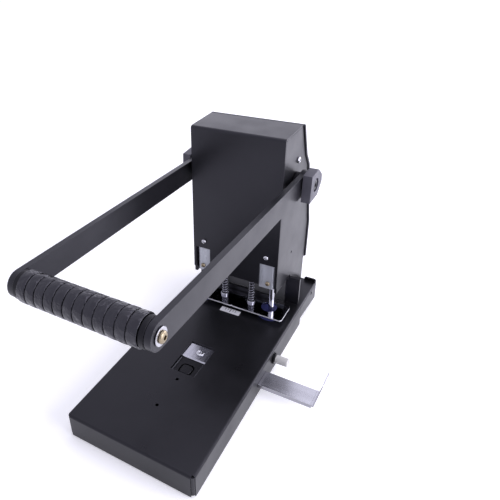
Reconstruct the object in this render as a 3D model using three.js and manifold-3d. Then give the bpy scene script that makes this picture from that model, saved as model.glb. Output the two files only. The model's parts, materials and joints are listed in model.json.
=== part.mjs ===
// Heavy duty two-hole paper punch, in millimetres.
// X points right, Y points back and Z points up. The origin lies on the underside of the base's mat,
// on the centre line, straight below the line of the two punch pins.

import * as THREE from 'three';
import { mergeVertices } from 'three/addons/utils/BufferGeometryUtils.js';
import Module from 'manifold-3d';

const wasm = await Module();
wasm.setup();

// Common sizes
const seat = 0.3;             // gap between pieces that touch on the real machine
const running = 0.1;          // radial gap of a shaft that turns or slides in its hole
const cutOver = 1;            // how far a cutting tool runs past a face
const sheet = 1.2;            // thickness of the folded steel covers
const sheetBend = 2.4;        // outer radius of a fold in a cover

// Base
const baseOverPin = 26;        // from a punch pin out to the side of the base
const baseDepth = 302;
const baseBack = 80;
const baseHeight = 25.5;      // height of the folded cover
const floorGap = 1.5;         // the cover's rim hangs this far above the table
const seamY = 25;            // where the front cover of the base meets the rear one
const cornerGap = 3.2;        // open corner between the front flange and a side flange
const cornerRadius = 3;
const rearRimFront = 10.1;    // the rear cover's rim is higher, and slopes down to the back
const rearRimBack = 5.2;
const rearTabWidth = 14;      // rounded tabs on the rear edge
const rearTabHeight = 4.6;
const rearTabCorner = 2.4;
const rearTabInset = 7.4;
const rearHoleRadius = 2.2;
const rearHoleY = 60.6;
const rearHoleZ = 21.8;
const bottomPlateThickness = 1.5;
const bottomPlateZ = 2;
const bottomPlateInset = 0.8;
const framePlateThickness = 4;
const framePlateZ = 10.3;
const framePlateInset = 4;
const framePlateFront = -32;
const framePlateBack = 77;
const framePlateLegs = 6;
const matThickness = 1.7;      // rubber mat under the bottom plate
const matInset = 4;
const matBack = 18;
const footRadius = 8;
const footInset = 18;
const footBesidePin = 4;

// Windows and holes in the base's top
const windowHalfWidth = 13.6;
const windowFront = -126.7;
const windowBack = -82.5;
const topHoleRadius = 1.75;
const topHoleNearShare = 0.52; // of the way from the front edge to the window
const topHoleFarShare = 0.9;
const markHalfWidth = 11.5;
const markDepth = 7.4;
const markThickness = 0.5;
const markY = -19.9;

// Punching: pins, discs, press plate and paper stop
const pinSpacing = 80;
const pinLine = 0;
const pinRadius = 3.1;
const pinBore = 2.3;
const pinBevel = 0.6;
const pinAboveCarriage = 12;
const chipSlotHeight = 7;
const chipSlotFloor = 2;
const discRadius = 15;
const discThickness = 3.2;
const discProud = 0.2;
const discGrooveRadius = 5;
const discGroove = 0.4;
const dieOverPin = 17;
const dieFront = -19;
const dieBack = 19;
const dieSheet = 3;
const throat = 4.8;           // clear height for the stack of paper under the closed lever
const pressThickness = 1.5;
const pressOverPin = 18;
const pressFront = -17;
const pressBack = 11;
const pressHoleRadius = 8.7;
const pressHoleInset = 2.2;    // the holes for the pins lie nearer to the middle than the pins
const notchWidth = 2.4;
const notchDepth = 1.2;
const stopFront = 12;
const stopBack = 16;
const stopInsidePin = 6;
const stopTop = 39;
const carriageTravel = 20;    // lift of the pins when the lever is opened
const pressTravel = 12;       // lift of the press plate when the lever is opened

// Guide posts and return springs
const postInsidePin = 23.8;
const postRadius = 1.8;
const postCone = 0.6;
const postAboveClip = 2;
const clipRadius = 4;
const clipThickness = 1.6;
const ringRadius = 4.6;
const ringHeight = 2.4;
const wireRadius = 0.5;
const coilRadius = 2.9;
const coilCurls = 10;
const coilStepsPerCurl = 8;
const wireSides = 5;

// Tower: side plates and covers
const towerOverPin = 8.75;
const towerFront = -12.3;
const towerTopBack = 35.5;
const towerHeight = 233.3;
const towerSheet = 1.5;
const sidePlate = 3;
const neckY = 42.5;          // the rear outline, from the top down
const neckBelow = 18.8;        // below the tower's top
const shoulderY = 49;
const shoulderBelow = 34.8;
const flareY = 59.5;
const flareBelow = 49.3;
const bellyY = 74.2;
const bellyZ = 121.5;
const towerBack = 78;
const towerBackZ = 108.5;
const rearCoverFoot = 60.5;
const rearCoverSheet = 3;
const overhangZ = 62.5;         // underside of the side plates over the paper
const legFront = 26;
const legBack = 72;
const legCorner = 5;
const wingWidth = 12.75;      // flange bent outward along the front of each leg, standing on the base
const wingTop = 61.3;
const wingRelief = 1.6;
const coverBottom = 69.5;
const coverNotchTop = 96;
const coverSliver = 2.6;
const tieRadius = 5;
const tieLowerY = 62;
const tieLowerZ = 76;
const bushRadius = 8.2;
const bushFlange = 9.6;

// Screws in the tower
const sideScrewY = 24.8;
const sideScrewBelow = 32.7;
const sideHoleY = 27;
const sideHoleZ = 93.6;
const sideHoleRadius = 1.5;
const smallHead = 3.2;
const smallHeadHeight = 1.9;
const smallShank = 1.5;
const smallShankLength = 4;
const coverScrewInsidePin = 4.2;
const coverScrewZ = 105;
const coverScrewHead = 2.6;

// Carriage with pin brackets
const carriageOverPin = 4.5;
const carriageFront = -8.4;
const carriageBack = 14;
const carriageTop = 94;
const cheekInsidePin = 16;     // upright cheeks of the carriage
const cheekThickness = 4;
const cheekBack = 12;
const cheekOverSlot = 6;
const bracketWidth = 16.6;
const bracketSheet = 1.5;
const bracketBend = 3.4;      // the face's outer edge is bent back
const carriageCorner = 1;     // the carriage's front corners are cut away beside the pins
const bracketBottom = 65.3;
const bracketTop = 99;
const bracketBack = 10;
const bracketScrewZ = 72;
const bracketScrewInsidePin = 1.7;
const bracketScrewHead = 2.6;

// Lever
const pivotY = 20.5;
const pivotBelow = 53.5;       // below the tower's top
const leverLength = 265;
const leverTilt = THREE.MathUtils.degToRad(2.4);
const leverStroke = THREE.MathUtils.degToRad(60);
const armGap = 5.95;           // from the tower's side out to an arm
const armThickness = 5;
const armWidth = 21.3;
const armBoss = 12.5;
const axleRadius = 6;
const gripRadius = 12.3;
const gripRodRadius = 7;
const gripRibs = 12;
const gripGroove = 0.9;
const gripGrooveWidth = 1;
const collarLength = 4.2;
const collarRadius = 11.2;
const gripScrewHead = 4.4;
const gripScrewHeight = 2.2;
const gripScrewShank = 2.5;
const gripScrewLength = 8;
const gripWasher = 6.6;
const gripWasherThickness = 1;
const crankGap = 1;            // from a cheek out to its crank
const crankThickness = 5;
const crankHub = 10;
const crankEye = 7.5;
const crankPinRadius = 4;
const crankSlotGap = 0.3;

// Hubs that clamp the arms to the axle, outside the arms. Their outline is counted from the pivot.
const hubGap = 1;
const hubWidth = 9.1;
const hubOverAxle = 4.5;
const hubSpacerRadius = 9;
const hubOutline = [[-14.8, 13.3], [3.9, 15.1], [16.5, 6], [17.8, -2], [7.5, -13.1], [-14.8, -14.2]];
const hubBend = 4;
const hubRecess = 6.8;
const hubRecessDepth = 2.6;
const hubScrewHead = 6;
const hubScrewHeight = 1.8;
const hubScrewShank = 2.5;
const hubScrewLength = 6;

// Side guide and its lock
const guideFront = -95;
const guideBack = -75;
const guideTop = 15.5;
const guideSheet = 2;
const guideLip = 4.2;
const guideInnerEnd = -15;
const guideReach = 55;         // from the side of the base out to the upturned end
const guideEndHeight = 31.5;
const guideEndLean = THREE.MathUtils.degToRad(12);
const guideEndCorner = 2;
const railGap = 0.5;
const railInset = 4;
const railSheet = 2;
const railWidth = 17.5;
const knobY = -53;
const knobZ = 14.5;
const knobRadius = 4.4;
const knobLength = 13.2;
const knobShank = 2;
const knobEdge = 0.8;
const lockWasher = 6;
const lockWasherThickness = 1.2;
const lockTabInset = 6;
const lockTabHeight = 20;
const lockTabFront = -61;
const lockTabBack = -44;

// Release button in the base's window
const buttonY = -118.8;
const buttonWidth = 11.6;
const buttonDepth = 11.6;
const buttonTop = 25;
const buttonBottom = 18;
const buttonCorner = 3;
const buttonGap = 0.6;
const buttonTravel = 2;
const pocketHalfWidth = 16;
const pocketFront = -129;
const pocketBack = -104.5;
const pocketFloor = 18.5;
const pocketTop = 24.4;
const pocketWing = 1.2;        // two low ridges beside the button
const pocketWingX = 12;
const pocketRecess = 1.4;      // wide gap about the button's upper part
const pocketLedge = 21.5;

// Bright plate in the rear half of the base's window
const plateHalf = 15.8;
const plateFront = -104.2;
const plateBack = -79;
const plateSheet = 1.2;
const plateLip = 4.2;
const plateScrewX = 1.8;
const plateScrewY = -93.5;
const plateScrewHead = 4.2;
const plateScrewHeight = 1.2;
const plateScrewLength = 3;

// Values that follow from the sizes above
const pinX = pinSpacing / 2;
const baseHalf = pinX + baseOverPin;
const baseFront = baseBack - baseDepth;
const baseTop = floorGap + baseHeight;
const sheetUnder = baseTop - sheet;
const bottomPlateTop = bottomPlateZ + bottomPlateThickness;
const framePlateTop = framePlateZ + framePlateThickness;
const framePlateHalf = baseHalf - framePlateInset;
const pressHalf = pinX + pressOverPin;
const postX = pinX - postInsidePin;
const discTop = baseTop + discProud;
const pressBottom = discTop + throat;
const pressTop = pressBottom + pressThickness;
const pinTip = discTop + seat;
const pinTop = carriageTop + pinAboveCarriage;
const towerHalf = pinX + towerOverPin;
const plateInner = towerHalf - sidePlate;
const sideScrewZ = towerHeight - sideScrewBelow;
const coverScrewX = pinX - coverScrewInsidePin;
const pivotZ = towerHeight - pivotBelow;
const armInner = towerHalf + armGap;
const armOuter = armInner + armThickness;
const hubInner = armOuter + hubGap;
const hubOuter = hubInner + hubWidth;
const axleHalfLength = hubOuter - hubOverAxle;
const crankRadius = carriageTravel / (2 * Math.sin(leverStroke / 2));
const crankRest = leverStroke / 2 + leverTilt;
const crankPinY = pivotY - crankRadius * Math.cos(leverStroke / 2);
const crankPinZ = pivotZ - crankRadius * Math.sin(leverStroke / 2);
const cheekInner = pinX - cheekInsidePin;
const crankInner = cheekInner + cheekThickness + crankGap;
const bracketScrewX = pinX - bracketScrewInsidePin;
const bracketFront = carriageFront - seat - bracketSheet;
const carriageBottom = bracketBottom + bracketSheet + seat;
const clipBottom = carriageTop + carriageTravel - pressTravel + seat;
const ringBottom = pressTop;
const springFoot = ringBottom + ringHeight + seat;
const springHead = carriageBottom - seat;
const guideOuter = baseHalf + guideReach;
const lockTabX = baseHalf - lockTabInset;

// Materials
const paint = { color: 0x303035, roughness: 0.45, metalness: 0.2 };
const palette = {
  base_paint: paint,
  tower_paint: paint,
  lever_paint: paint,
  black_plastic: { color: 0x161618, roughness: 0.55, metalness: 0 },
  black_rubber: { color: 0x121213, roughness: 0.7, metalness: 0 },
  bright_steel: { color: 0xc8c8cc, roughness: 0.25, metalness: 1 },
  chrome: { color: 0xdcdce0, roughness: 0.08, metalness: 1 },
  zinc: { color: 0xa8b0b8, roughness: 0.4, metalness: 0.9 },
  brass: { color: 0xb09a6a, roughness: 0.35, metalness: 1 },
  blue_plastic: { color: 0x47518c, roughness: 0.5, metalness: 0 },
  off_white: { color: 0xd2d2ca, roughness: 0.5, metalness: 0 },
};

// Solids and booleans

function toSolid(geometry) {
  const bare = geometry.clone();
  bare.deleteAttribute('normal');
  bare.deleteAttribute('uv');
  const merged = mergeVertices(bare);
  return new wasm.Manifold(new wasm.Mesh({
    numProp: 3,
    vertProperties: new Float32Array(merged.attributes.position.array),
    triVerts: new Uint32Array(merged.index.array),
  }));
}

function toGeometry(solid) {
  const mesh = solid.getMesh();
  const geometry = new THREE.BufferGeometry();
  geometry.setAttribute('position', new THREE.BufferAttribute(new Float32Array(mesh.vertProperties), 3));
  geometry.setIndex(new THREE.BufferAttribute(new Uint32Array(mesh.triVerts), 1));
  return geometry;
}

function join(...solids) {
  return solids.reduce((whole, next) => whole.add(next));
}

function cut(solid, ...tools) {
  return tools.reduce((rest, tool) => rest.subtract(tool), solid);
}

// A block between two corners
function block(x0, x1, y0, y1, z0, z1) {
  const geometry = new THREE.BoxGeometry(x1 - x0, y1 - y0, z1 - z0);
  geometry.translate((x0 + x1) / 2, (y0 + y1) / 2, (z0 + z1) / 2);
  return toSolid(geometry);
}

function extrude(shape, depth, curveSegments = 2) {
  return new THREE.ExtrudeGeometry(shape, { depth, bevelEnabled: false, curveSegments });
}

// An outline drawn in Y and Z, run along X
function alongX(shape, x0, x1, curveSegments) {
  const geometry = extrude(shape, x1 - x0, curveSegments);
  const turn = new THREE.Matrix4().makeBasis(
    new THREE.Vector3(0, 1, 0), new THREE.Vector3(0, 0, 1), new THREE.Vector3(1, 0, 0));
  geometry.applyMatrix4(turn);
  geometry.translate(x0, 0, 0);
  return toSolid(geometry);
}

// An outline drawn in X and Z, run along Y
function alongY(shape, y0, y1, curveSegments) {
  const geometry = extrude(shape, y1 - y0, curveSegments);
  geometry.rotateX(Math.PI / 2);
  geometry.translate(0, y1, 0);
  return toSolid(geometry);
}

// An outline drawn in X and Y, run along Z
function alongZ(shape, z0, z1, curveSegments) {
  const geometry = extrude(shape, z1 - z0, curveSegments);
  geometry.translate(0, 0, z0);
  return toSolid(geometry);
}

const turnTo = {
  x: (geometry) => geometry.rotateZ(-Math.PI / 2),
  y: (geometry) => geometry,
  z: (geometry) => geometry.rotateX(Math.PI / 2),
};

// A turned piece: a profile of [radius, height] points about an axis, from its foot at the given place
function turned(axis, profile, [x, y, z], segments = 24) {
  const points = profile.map(([radius, height]) => new THREE.Vector2(radius, height));
  const geometry = turnTo[axis](new THREE.LatheGeometry(points, segments));
  geometry.translate(x, y, z);
  return toSolid(geometry);
}

function rod(axis, radius, length, place, segments = 24) {
  return turned(axis, [[0, 0], [radius, 0], [radius, length], [0, length]], place, segments);
}

function rectangle(a0, b0, a1, b1, radius = 0) {
  const shape = new THREE.Shape();
  if (radius === 0) {
    shape.moveTo(a0, b0);
    shape.lineTo(a1, b0);
    shape.lineTo(a1, b1);
    shape.lineTo(a0, b1);
    shape.closePath();
    return shape;
  }
  shape.moveTo(a0 + radius, b0);
  shape.lineTo(a1 - radius, b0);
  shape.absarc(a1 - radius, b0 + radius, radius, -Math.PI / 2, 0);
  shape.lineTo(a1, b1 - radius);
  shape.absarc(a1 - radius, b1 - radius, radius, 0, Math.PI / 2);
  shape.lineTo(a0 + radius, b1);
  shape.absarc(a0 + radius, b1 - radius, radius, Math.PI / 2, Math.PI);
  shape.lineTo(a0, b0 + radius);
  shape.absarc(a0 + radius, b0 + radius, radius, Math.PI, 1.5 * Math.PI);
  return shape;
}

// A line of points whose inner corners become arcs
function roundedLine(points, radius, steps = 4) {
  const out = [points[0]];
  for (let i = 1; i < points.length - 1; i += 1) {
    const corner = points[i];
      const before = points[i - 1].clone().sub(corner).normalize();
    const after = points[i + 1].clone().sub(corner).normalize();
    const half = before.angleTo(after) / 2;
    const reach = radius / Math.tan(half);
    const centre = before.clone().add(after).normalize().multiplyScalar(radius / Math.sin(half)).add(corner);
    const from = corner.clone().addScaledVector(before, reach).sub(centre);
    const to = corner.clone().addScaledVector(after, reach).sub(centre);
    const start = from.angle();
    let sweep = to.angle() - start;
    if (sweep > Math.PI) sweep -= 2 * Math.PI;
    if (sweep < -Math.PI) sweep += 2 * Math.PI;
    for (let k = 0; k <= steps; k += 1) {
      const angle = start + (sweep * k) / steps;
      out.push(new THREE.Vector2(Math.cos(angle), Math.sin(angle)).multiplyScalar(radius).add(centre));
    }
  }
  out.push(points[points.length - 1]);
  return out;
}

// The same line moved to its right by a distance
function offsetLine(points, distance) {
  const normals = [];
  for (let i = 0; i + 1 < points.length; i += 1) {
    const along = points[i + 1].clone().sub(points[i]).normalize();
    normals.push(new THREE.Vector2(along.y, -along.x));
  }
  return points.map((point, i) => {
    const first = normals[Math.max(0, i - 1)];
    const second = normals[Math.min(normals.length - 1, i)];
    const mitre = first.clone().add(second).normalize();
    return point.clone().addScaledVector(mitre, distance / mitre.dot(first));
  });
}

// The section of a folded sheet: its outer face is the given line, and the metal lies to its right
function foldedSection(line, thickness, bend) {
  const outer = line.map(([a, b]) => new THREE.Vector2(a, b));
  const inner = offsetLine(outer, thickness);
  const outside = roundedLine(outer, bend);
  const inside = roundedLine(inner, bend - thickness).reverse();
  return new THREE.Shape([...outside, ...inside]);
}

// Assembly helpers
const assembly = new THREE.Group();

function add(name, solid, material, parent = assembly) {
  const mesh = new THREE.Mesh(toGeometry(solid), new THREE.MeshStandardMaterial(palette[material]));
  mesh.name = name;
  parent.add(mesh);
  return mesh;
}

// Makes a piece for each side. The maker gets +1 for the right side and -1 for the left one.
function pair(name, make, material, parent = assembly) {
  for (const [side, word] of [[1, 'right'], [-1, 'left']]) {
    add(`${name}_${word}`, make(side), material, parent);
  }
}

// A block given by its distances from the centre plane, on one side
function sideBlock(side, near, far, y0, y1, z0, z1) {
  return block(Math.min(side * near, side * far), Math.max(side * near, side * far), y0, y1, z0, z1);
}

function sideAlongX(side, shape, near, far, curveSegments) {
  return alongX(shape, Math.min(side * near, side * far), Math.max(side * near, side * far), curveSegments);
}

function sideRod(side, radius, near, far, y, z, segments) {
  return rod('x', radius, far - near, [side > 0 ? near : -far, y, z], segments);
}

// Shape of a screw's head, as shares of its radius and height
const rimShare = 0.45;
const domeShare = 0.82;
const domeHeightShare = 0.85;
const crownShare = 0.5;
const socketShare = 0.42;

// A screw with a low domed head and a hexagon socket, standing along +Z with its head on top
function screwSolid(head, height, shank, length, segments = 18) {
  const body = turned('z', [
    [0, -length], [shank, -length], [shank, 0], [head, 0],
    [head, height * rimShare], [head * domeShare, height * domeHeightShare],
    [head * crownShare, height], [0, height],
  ], [0, 0, 0], segments);
  const socket = turned('z', [
    [0, height * socketShare], [head * socketShare, height * socketShare],
    [head * socketShare, height + cutOver], [0, height + cutOver],
  ], [0, 0, 0], 6);
  return cut(body, socket);
}

// A screw whose head points to the right or left, at the given distance from the centre plane
function sideScrew(side, head, height, shank, length, x, y, z) {
  return screwSolid(head, height, shank, length)
    .rotate([0, side * 90, 0])
    .translate([side * x, y, z]);
}

// A screw whose head points to the front
function frontScrew(head, height, shank, length, x, y, z) {
  return screwSolid(head, height, shank, length)
    .rotate([90, 0, 0])
    .translate([x, y, z]);
}

// Base covers

function baseCover() {
  const section = foldedSection([
    [-baseHalf, floorGap], [-baseHalf, baseTop], [baseHalf, baseTop], [baseHalf, floorGap],
  ], sheet, sheetBend);
  const shell = alongY(section, baseFront + cornerRadius, seamY);
  const frontSection = foldedSection([
    [baseFront, floorGap], [baseFront, baseTop], [(baseFront + windowFront) / 2, baseTop],
  ], sheet, sheetBend);
  const frontHalf = baseHalf - cornerGap;
  const front = alongX(frontSection, -frontHalf, frontHalf);
  const guideLow = guideTop - guideLip - railGap;
  const across = baseHalf + cutOver;
  const up = baseHeight + cutOver;
  const bottom = floorGap + sheet;
  const holeAt = (share) => [0, baseFront + share * (windowFront - baseFront), bottom];
  return cut(
    join(shell, front),
    alongZ(rectangle(-windowHalfWidth, windowFront, windowHalfWidth, windowBack), bottom, bottom + up),
    rod('z', topHoleRadius, up, holeAt(topHoleNearShare), 16),
    rod('z', topHoleRadius, up, holeAt(topHoleFarShare), 16),
    rod('z', discRadius + seat, up, [pinX, pinLine, bottom], 40),
    rod('z', discRadius + seat, up, [-pinX, pinLine, bottom], 40),
    block(-across, across, guideFront - railGap, guideBack + railGap, guideLow, guideTop + railGap),
    rod('x', knobShank + running, 2 * sheet + cutOver, [baseHalf - 2 * sheet, knobY, knobZ], 16),
  );
}

function rearBaseCover() {
  const start = seamY + seat;
  const section = foldedSection([
    [-baseHalf, rearRimBack], [-baseHalf, baseTop], [baseHalf, baseTop], [baseHalf, rearRimBack],
  ], sheet, sheetBend);
  const shell = alongY(section, start, baseBack - cornerRadius);
  const backSection = foldedSection([
    [legBack - legCorner, baseTop], [baseBack, baseTop], [baseBack, rearRimBack],
  ], sheet, sheetBend);
  const back = alongX(backSection, -baseHalf + cornerRadius, baseHalf - cornerRadius);
  const tabX = baseHalf - rearTabInset;
  const tabs = [-tabX, tabX].map((centre) => alongY(rectangle(
    centre - rearTabWidth / 2, sheetUnder - rearTabCorner, centre + rearTabWidth / 2, baseTop + rearTabHeight,
    rearTabCorner), baseBack - cornerRadius - sheet, baseBack - cornerRadius, 4));
  const rim = new THREE.Shape([
    new THREE.Vector2(seamY - cutOver, rearRimBack - cutOver),
    new THREE.Vector2(baseBack - cornerRadius, rearRimBack - cutOver),
    new THREE.Vector2(baseBack - cornerRadius, rearRimBack),
    new THREE.Vector2(seamY - cutOver, rearRimFront),
  ]);
  const slots = [1, -1].map((side) => sideBlock(
    side, plateInner - seat, towerHalf + seat, seamY - cutOver, legBack + seat, rearRimBack, baseTop + cutOver));
  const across = baseHalf + cutOver;
  return cut(
    join(shell, back, ...tabs),
    ...slots,
    alongX(rim, -across, across),
    rod('x', rearHoleRadius, 2 * across, [-across, rearHoleY, rearHoleZ], 16),
  );
}

function bottomPlate() {
  const inner = baseHalf - sheet - bottomPlateInset;
  return alongZ(
    rectangle(-inner, baseFront + sheet + bottomPlateInset, inner, seamY - bottomPlateInset, cornerRadius),
    bottomPlateZ, bottomPlateTop);
}

function baseMat() {
  const half = baseHalf - matInset;
  return alongZ(rectangle(-half, baseFront + matInset, half, matBack, cornerRadius), 0, matThickness);
}

// Thick plate that carries the tower. Its front half stands on the bottom plate on two legs.
function framePlate() {
  const plate = alongZ(
    rectangle(-framePlateHalf, framePlateFront, framePlateHalf, framePlateBack, cornerRadius),
    framePlateZ, framePlateTop);
  const legs = [1, -1].map((side) => sideBlock(
    side, framePlateHalf - framePlateLegs, framePlateHalf, framePlateFront + cornerRadius, seamY - cornerRadius,
    bottomPlateTop + seat, framePlateZ + cutOver));
  return join(plate, ...legs);
}

add('base_cover', baseCover(), 'base_paint');
add('rear_base_cover', rearBaseCover(), 'base_paint');
add('bottom_plate', bottomPlate(), 'base_paint');
add('base_mat', baseMat(), 'black_rubber');
add('frame_plate', framePlate(), 'base_paint');

pair('rear_foot', (side) => {
  const top = framePlateZ - seat;
  return turned('z', [
    [0, 0], [footRadius - seat, 0], [footRadius, floorGap], [footRadius, top], [0, top],
  ], [side * (pinX + footBesidePin), baseBack - footInset, 0], 20);
}, 'black_rubber');

// Centre mark in front of the press plate
add('centre_mark', alongZ(
  rectangle(-markHalfWidth, markY - markDepth / 2, markHalfWidth, markY + markDepth / 2, markThickness),
  baseTop + seat, baseTop + seat + markThickness), 'off_white');

// Punching discs and the steel channel that carries them
function punchDisc(side) {
  const disc = turned('z', [
    [0, discTop - discThickness], [discRadius, discTop - discThickness],
    [discRadius, discTop - discGroove], [discRadius - discGroove, discTop], [0, discTop],
  ], [side * pinX, pinLine, 0], 40);
  const groove = turned('z', [
    [discGrooveRadius, discTop - discGroove], [discGrooveRadius + 2 * discGroove, discTop - discGroove],
    [discGrooveRadius + 2 * discGroove, discTop + cutOver], [discGrooveRadius, discTop + cutOver],
    [discGrooveRadius, discTop - discGroove],
  ], [side * pinX, pinLine, 0], 32);
  return cut(disc, groove);
}

function discSupport() {
  const top = discTop - discThickness - seat;
  const foot = framePlateTop + seat;
  const half = pinX + dieOverPin;
  const section = foldedSection([
    [-half, foot], [-half, top], [half, top], [half, foot],
  ], dieSheet, dieSheet + sheet);
  return alongY(section, dieFront, dieBack);
}

pair('punch_disc', punchDisc, 'blue_plastic');
add('disc_support', discSupport(), 'zinc');

// Press plate, paper stop and guide posts
function pressPlate() {
  const sheetShape = rectangle(-pressHalf, pressFront, pressHalf, pressBack, cornerRadius);
  const notch = new THREE.Shape([
    new THREE.Vector2(-notchWidth / 2, pressFront - cutOver),
    new THREE.Vector2(notchWidth / 2, pressFront - cutOver),
    new THREE.Vector2(notchWidth / 2, pressFront),
    new THREE.Vector2(0, pressFront + notchDepth),
    new THREE.Vector2(-notchWidth / 2, pressFront),
  ]);
  const low = pressBottom - cutOver;
  const depth = pressThickness + 2 * cutOver;
  const holes = [];
  for (const side of [1, -1]) {
    holes.push(rod('z', pressHoleRadius, depth, [side * (pinX - pressHoleInset), pinLine, low], 32));
    holes.push(rod('z', postRadius + seat, depth, [side * postX, pinLine, low], 20));
  }
  return cut(alongZ(sheetShape, pressBottom, pressTop), alongZ(notch, low, low + depth), ...holes);
}

add('press_plate', pressPlate(), 'chrome');
const stopHalf = pinX - stopInsidePin;
add('paper_stop', alongZ(
  rectangle(-stopHalf, stopFront, stopHalf, stopBack, sheet), baseTop + seat, stopTop), 'base_paint');

// A post with the collar that the spring stands on. Its upper end slides in the carriage.
function guidePost(side) {
  const top = clipBottom + clipThickness + postAboveClip;
  return turned('z', [
    [0, pressBottom], [postRadius, pressBottom], [postRadius, ringBottom + seat], [ringRadius, ringBottom + seat],
    [ringRadius, ringBottom + ringHeight * domeShare], [ringRadius * domeHeightShare, ringBottom + ringHeight],
    [postRadius, ringBottom + ringHeight], [postRadius, top - postCone], [postRadius - postCone, top], [0, top],
  ], [side * postX, pinLine, 0], 20);
}

// The clip by which the rising carriage lifts the post and the press plate
function postClip(side) {
  return turned('z', [
    [postRadius + seat, clipBottom], [clipRadius, clipBottom], [clipRadius, clipBottom + clipThickness],
    [postRadius + seat, clipBottom + clipThickness], [postRadius + seat, clipBottom],
  ], [side * postX, pinLine, 0], 20);
}

pair('guide_post', guidePost, 'bright_steel');
pair('post_clip', postClip, 'zinc');

// Return springs: one unbroken wire each, wound by formula, with a straight end at both faces
function springPath(side) {
  const points = [];
  const straight = 2 * wireRadius;
  const windFrom = springFoot + straight;
  const windTo = springHead - straight;
  const steps = coilCurls * coilStepsPerCurl;
  const at = (share, z) => {
    const angle = share * coilCurls * 2 * Math.PI;
    return new THREE.Vector3(
      side * postX + coilRadius * Math.cos(angle), pinLine + coilRadius * Math.sin(angle), z);
  };
  points.push(at(0, springFoot));
  for (let k = 0; k <= steps; k += 1) {
    points.push(at(k / steps, windFrom + ((windTo - windFrom) * k) / steps));
  }
  points.push(at(1, springHead));
  return points;
}

// A closed tube through the points. Its first and last sections lie flat.
function wireSolid(points) {
  const positions = [];
  const indices = [];
  points.forEach((point, i) => {
    const before = points[Math.max(0, i - 1)];
    const after = points[Math.min(points.length - 1, i + 1)];
    const along = after.clone().sub(before).normalize();
    if (i === 0 || i === points.length - 1) along.set(0, 0, 1);
    const out = new THREE.Vector3(point.x, point.y, 0).sub(springAxis(point)).normalize();
    const across = new THREE.Vector3().crossVectors(along, out).normalize();
    const up = new THREE.Vector3().crossVectors(across, along).normalize();
    for (let k = 0; k < wireSides; k += 1) {
      const angle = (k * 2 * Math.PI) / wireSides;
      const rim = point.clone()
        .addScaledVector(up, wireRadius * Math.cos(angle))
        .addScaledVector(across, wireRadius * Math.sin(angle));
      positions.push(rim.x, rim.y, rim.z);
    }
  });
  const rings = points.length;
  for (let i = 0; i + 1 < rings; i += 1) {
    for (let k = 0; k < wireSides; k += 1) {
      const a = i * wireSides + k;
      const b = i * wireSides + ((k + 1) % wireSides);
      indices.push(a, b, a + wireSides, b, b + wireSides, a + wireSides);
    }
  }
  for (let k = 1; k + 1 < wireSides; k += 1) {
    const last = (rings - 1) * wireSides;
    indices.push(0, k + 1, k);
    indices.push(last, last + k, last + k + 1);
  }
  const geometry = new THREE.BufferGeometry();
  geometry.setAttribute('position', new THREE.Float32BufferAttribute(positions, 3));
  geometry.setIndex(indices);
  return geometry;
}

function springAxis(point) {
  return new THREE.Vector3(Math.sign(point.x) * postX, pinLine, 0);
}

// The smallest distance between the wire's surface and itself, one curl or more away
function leastGap(points) {
  let least = Infinity;
  const apart = Math.floor(coilStepsPerCurl / 2);
  for (let i = 0; i < points.length; i += 1) {
    for (let j = i + apart; j < points.length; j += 1) {
      least = Math.min(least, points[i].distanceTo(points[j]));
    }
  }
  return least - 2 * wireRadius;
}

for (const [side, word] of [[1, 'right'], [-1, 'left']]) {
  const path = springPath(side);
  const mesh = new THREE.Mesh(wireSolid(path), new THREE.MeshStandardMaterial(palette.bright_steel));
  mesh.name = `return_spring_${word}`;
  assembly.add(mesh);
  console.log(`return_spring_${word}: least gap of the wire to itself ${leastGap(path).toFixed(2)} mm`);
}

// Tower

// The rear outline from the top down, as seen from the side
const rearLine = [
  [towerTopBack, towerHeight], [neckY, towerHeight - neckBelow], [shoulderY, towerHeight - shoulderBelow],
  [flareY, towerHeight - flareBelow],
  [bellyY, bellyZ], [towerBack, towerBackZ], [towerBack, rearCoverFoot],
].map(([y, z]) => new THREE.Vector2(y, z));

function sidePlateSolid(side) {
  const rear = offsetLine(rearLine, rearCoverSheet + seat);
  const top = towerHeight - towerSheet - seat;
  const slope = (rear[0].y - top) / (rear[0].y - rear[1].y);
  rear[0].lerp(rear[1], slope);
  const front = towerFront + towerSheet + seat;
  const inner = rear[rear.length - 1];
  const shape = new THREE.Shape([
    new THREE.Vector2(front, overhangZ),
    new THREE.Vector2(legFront - legCorner, overhangZ),
    new THREE.Vector2(legFront, overhangZ - legCorner),
    new THREE.Vector2(legFront, framePlateTop + seat),
    new THREE.Vector2(legBack, framePlateTop + seat),
    new THREE.Vector2(legBack, rearCoverFoot),
    inner,
    ...rear.slice(0, -1).reverse(),
    new THREE.Vector2(front + towerSheet, top),
    new THREE.Vector2(front, top - towerSheet),
  ]);
  const plate = sideAlongX(side, shape, plateInner, towerHalf);
  const wing = sideBlock(
    side, towerHalf - sidePlate / 2, towerHalf + wingWidth, legFront, legFront + sidePlate, baseTop + seat, wingTop);
  const hole = (radius, y, z) => sideRod(side, radius, plateInner - cutOver, towerHalf + cutOver, y, z, 24);
  return cut(
    join(plate, wing),
    hole(wingRelief, legFront + sidePlate / 2, wingTop + wingRelief / 2),
    hole(bushRadius + seat, pivotY, pivotZ),
    hole(smallShank + seat, sideScrewY, sideScrewZ),
    hole(sideHoleRadius, sideHoleY, sideHoleZ),
  );
}

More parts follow.
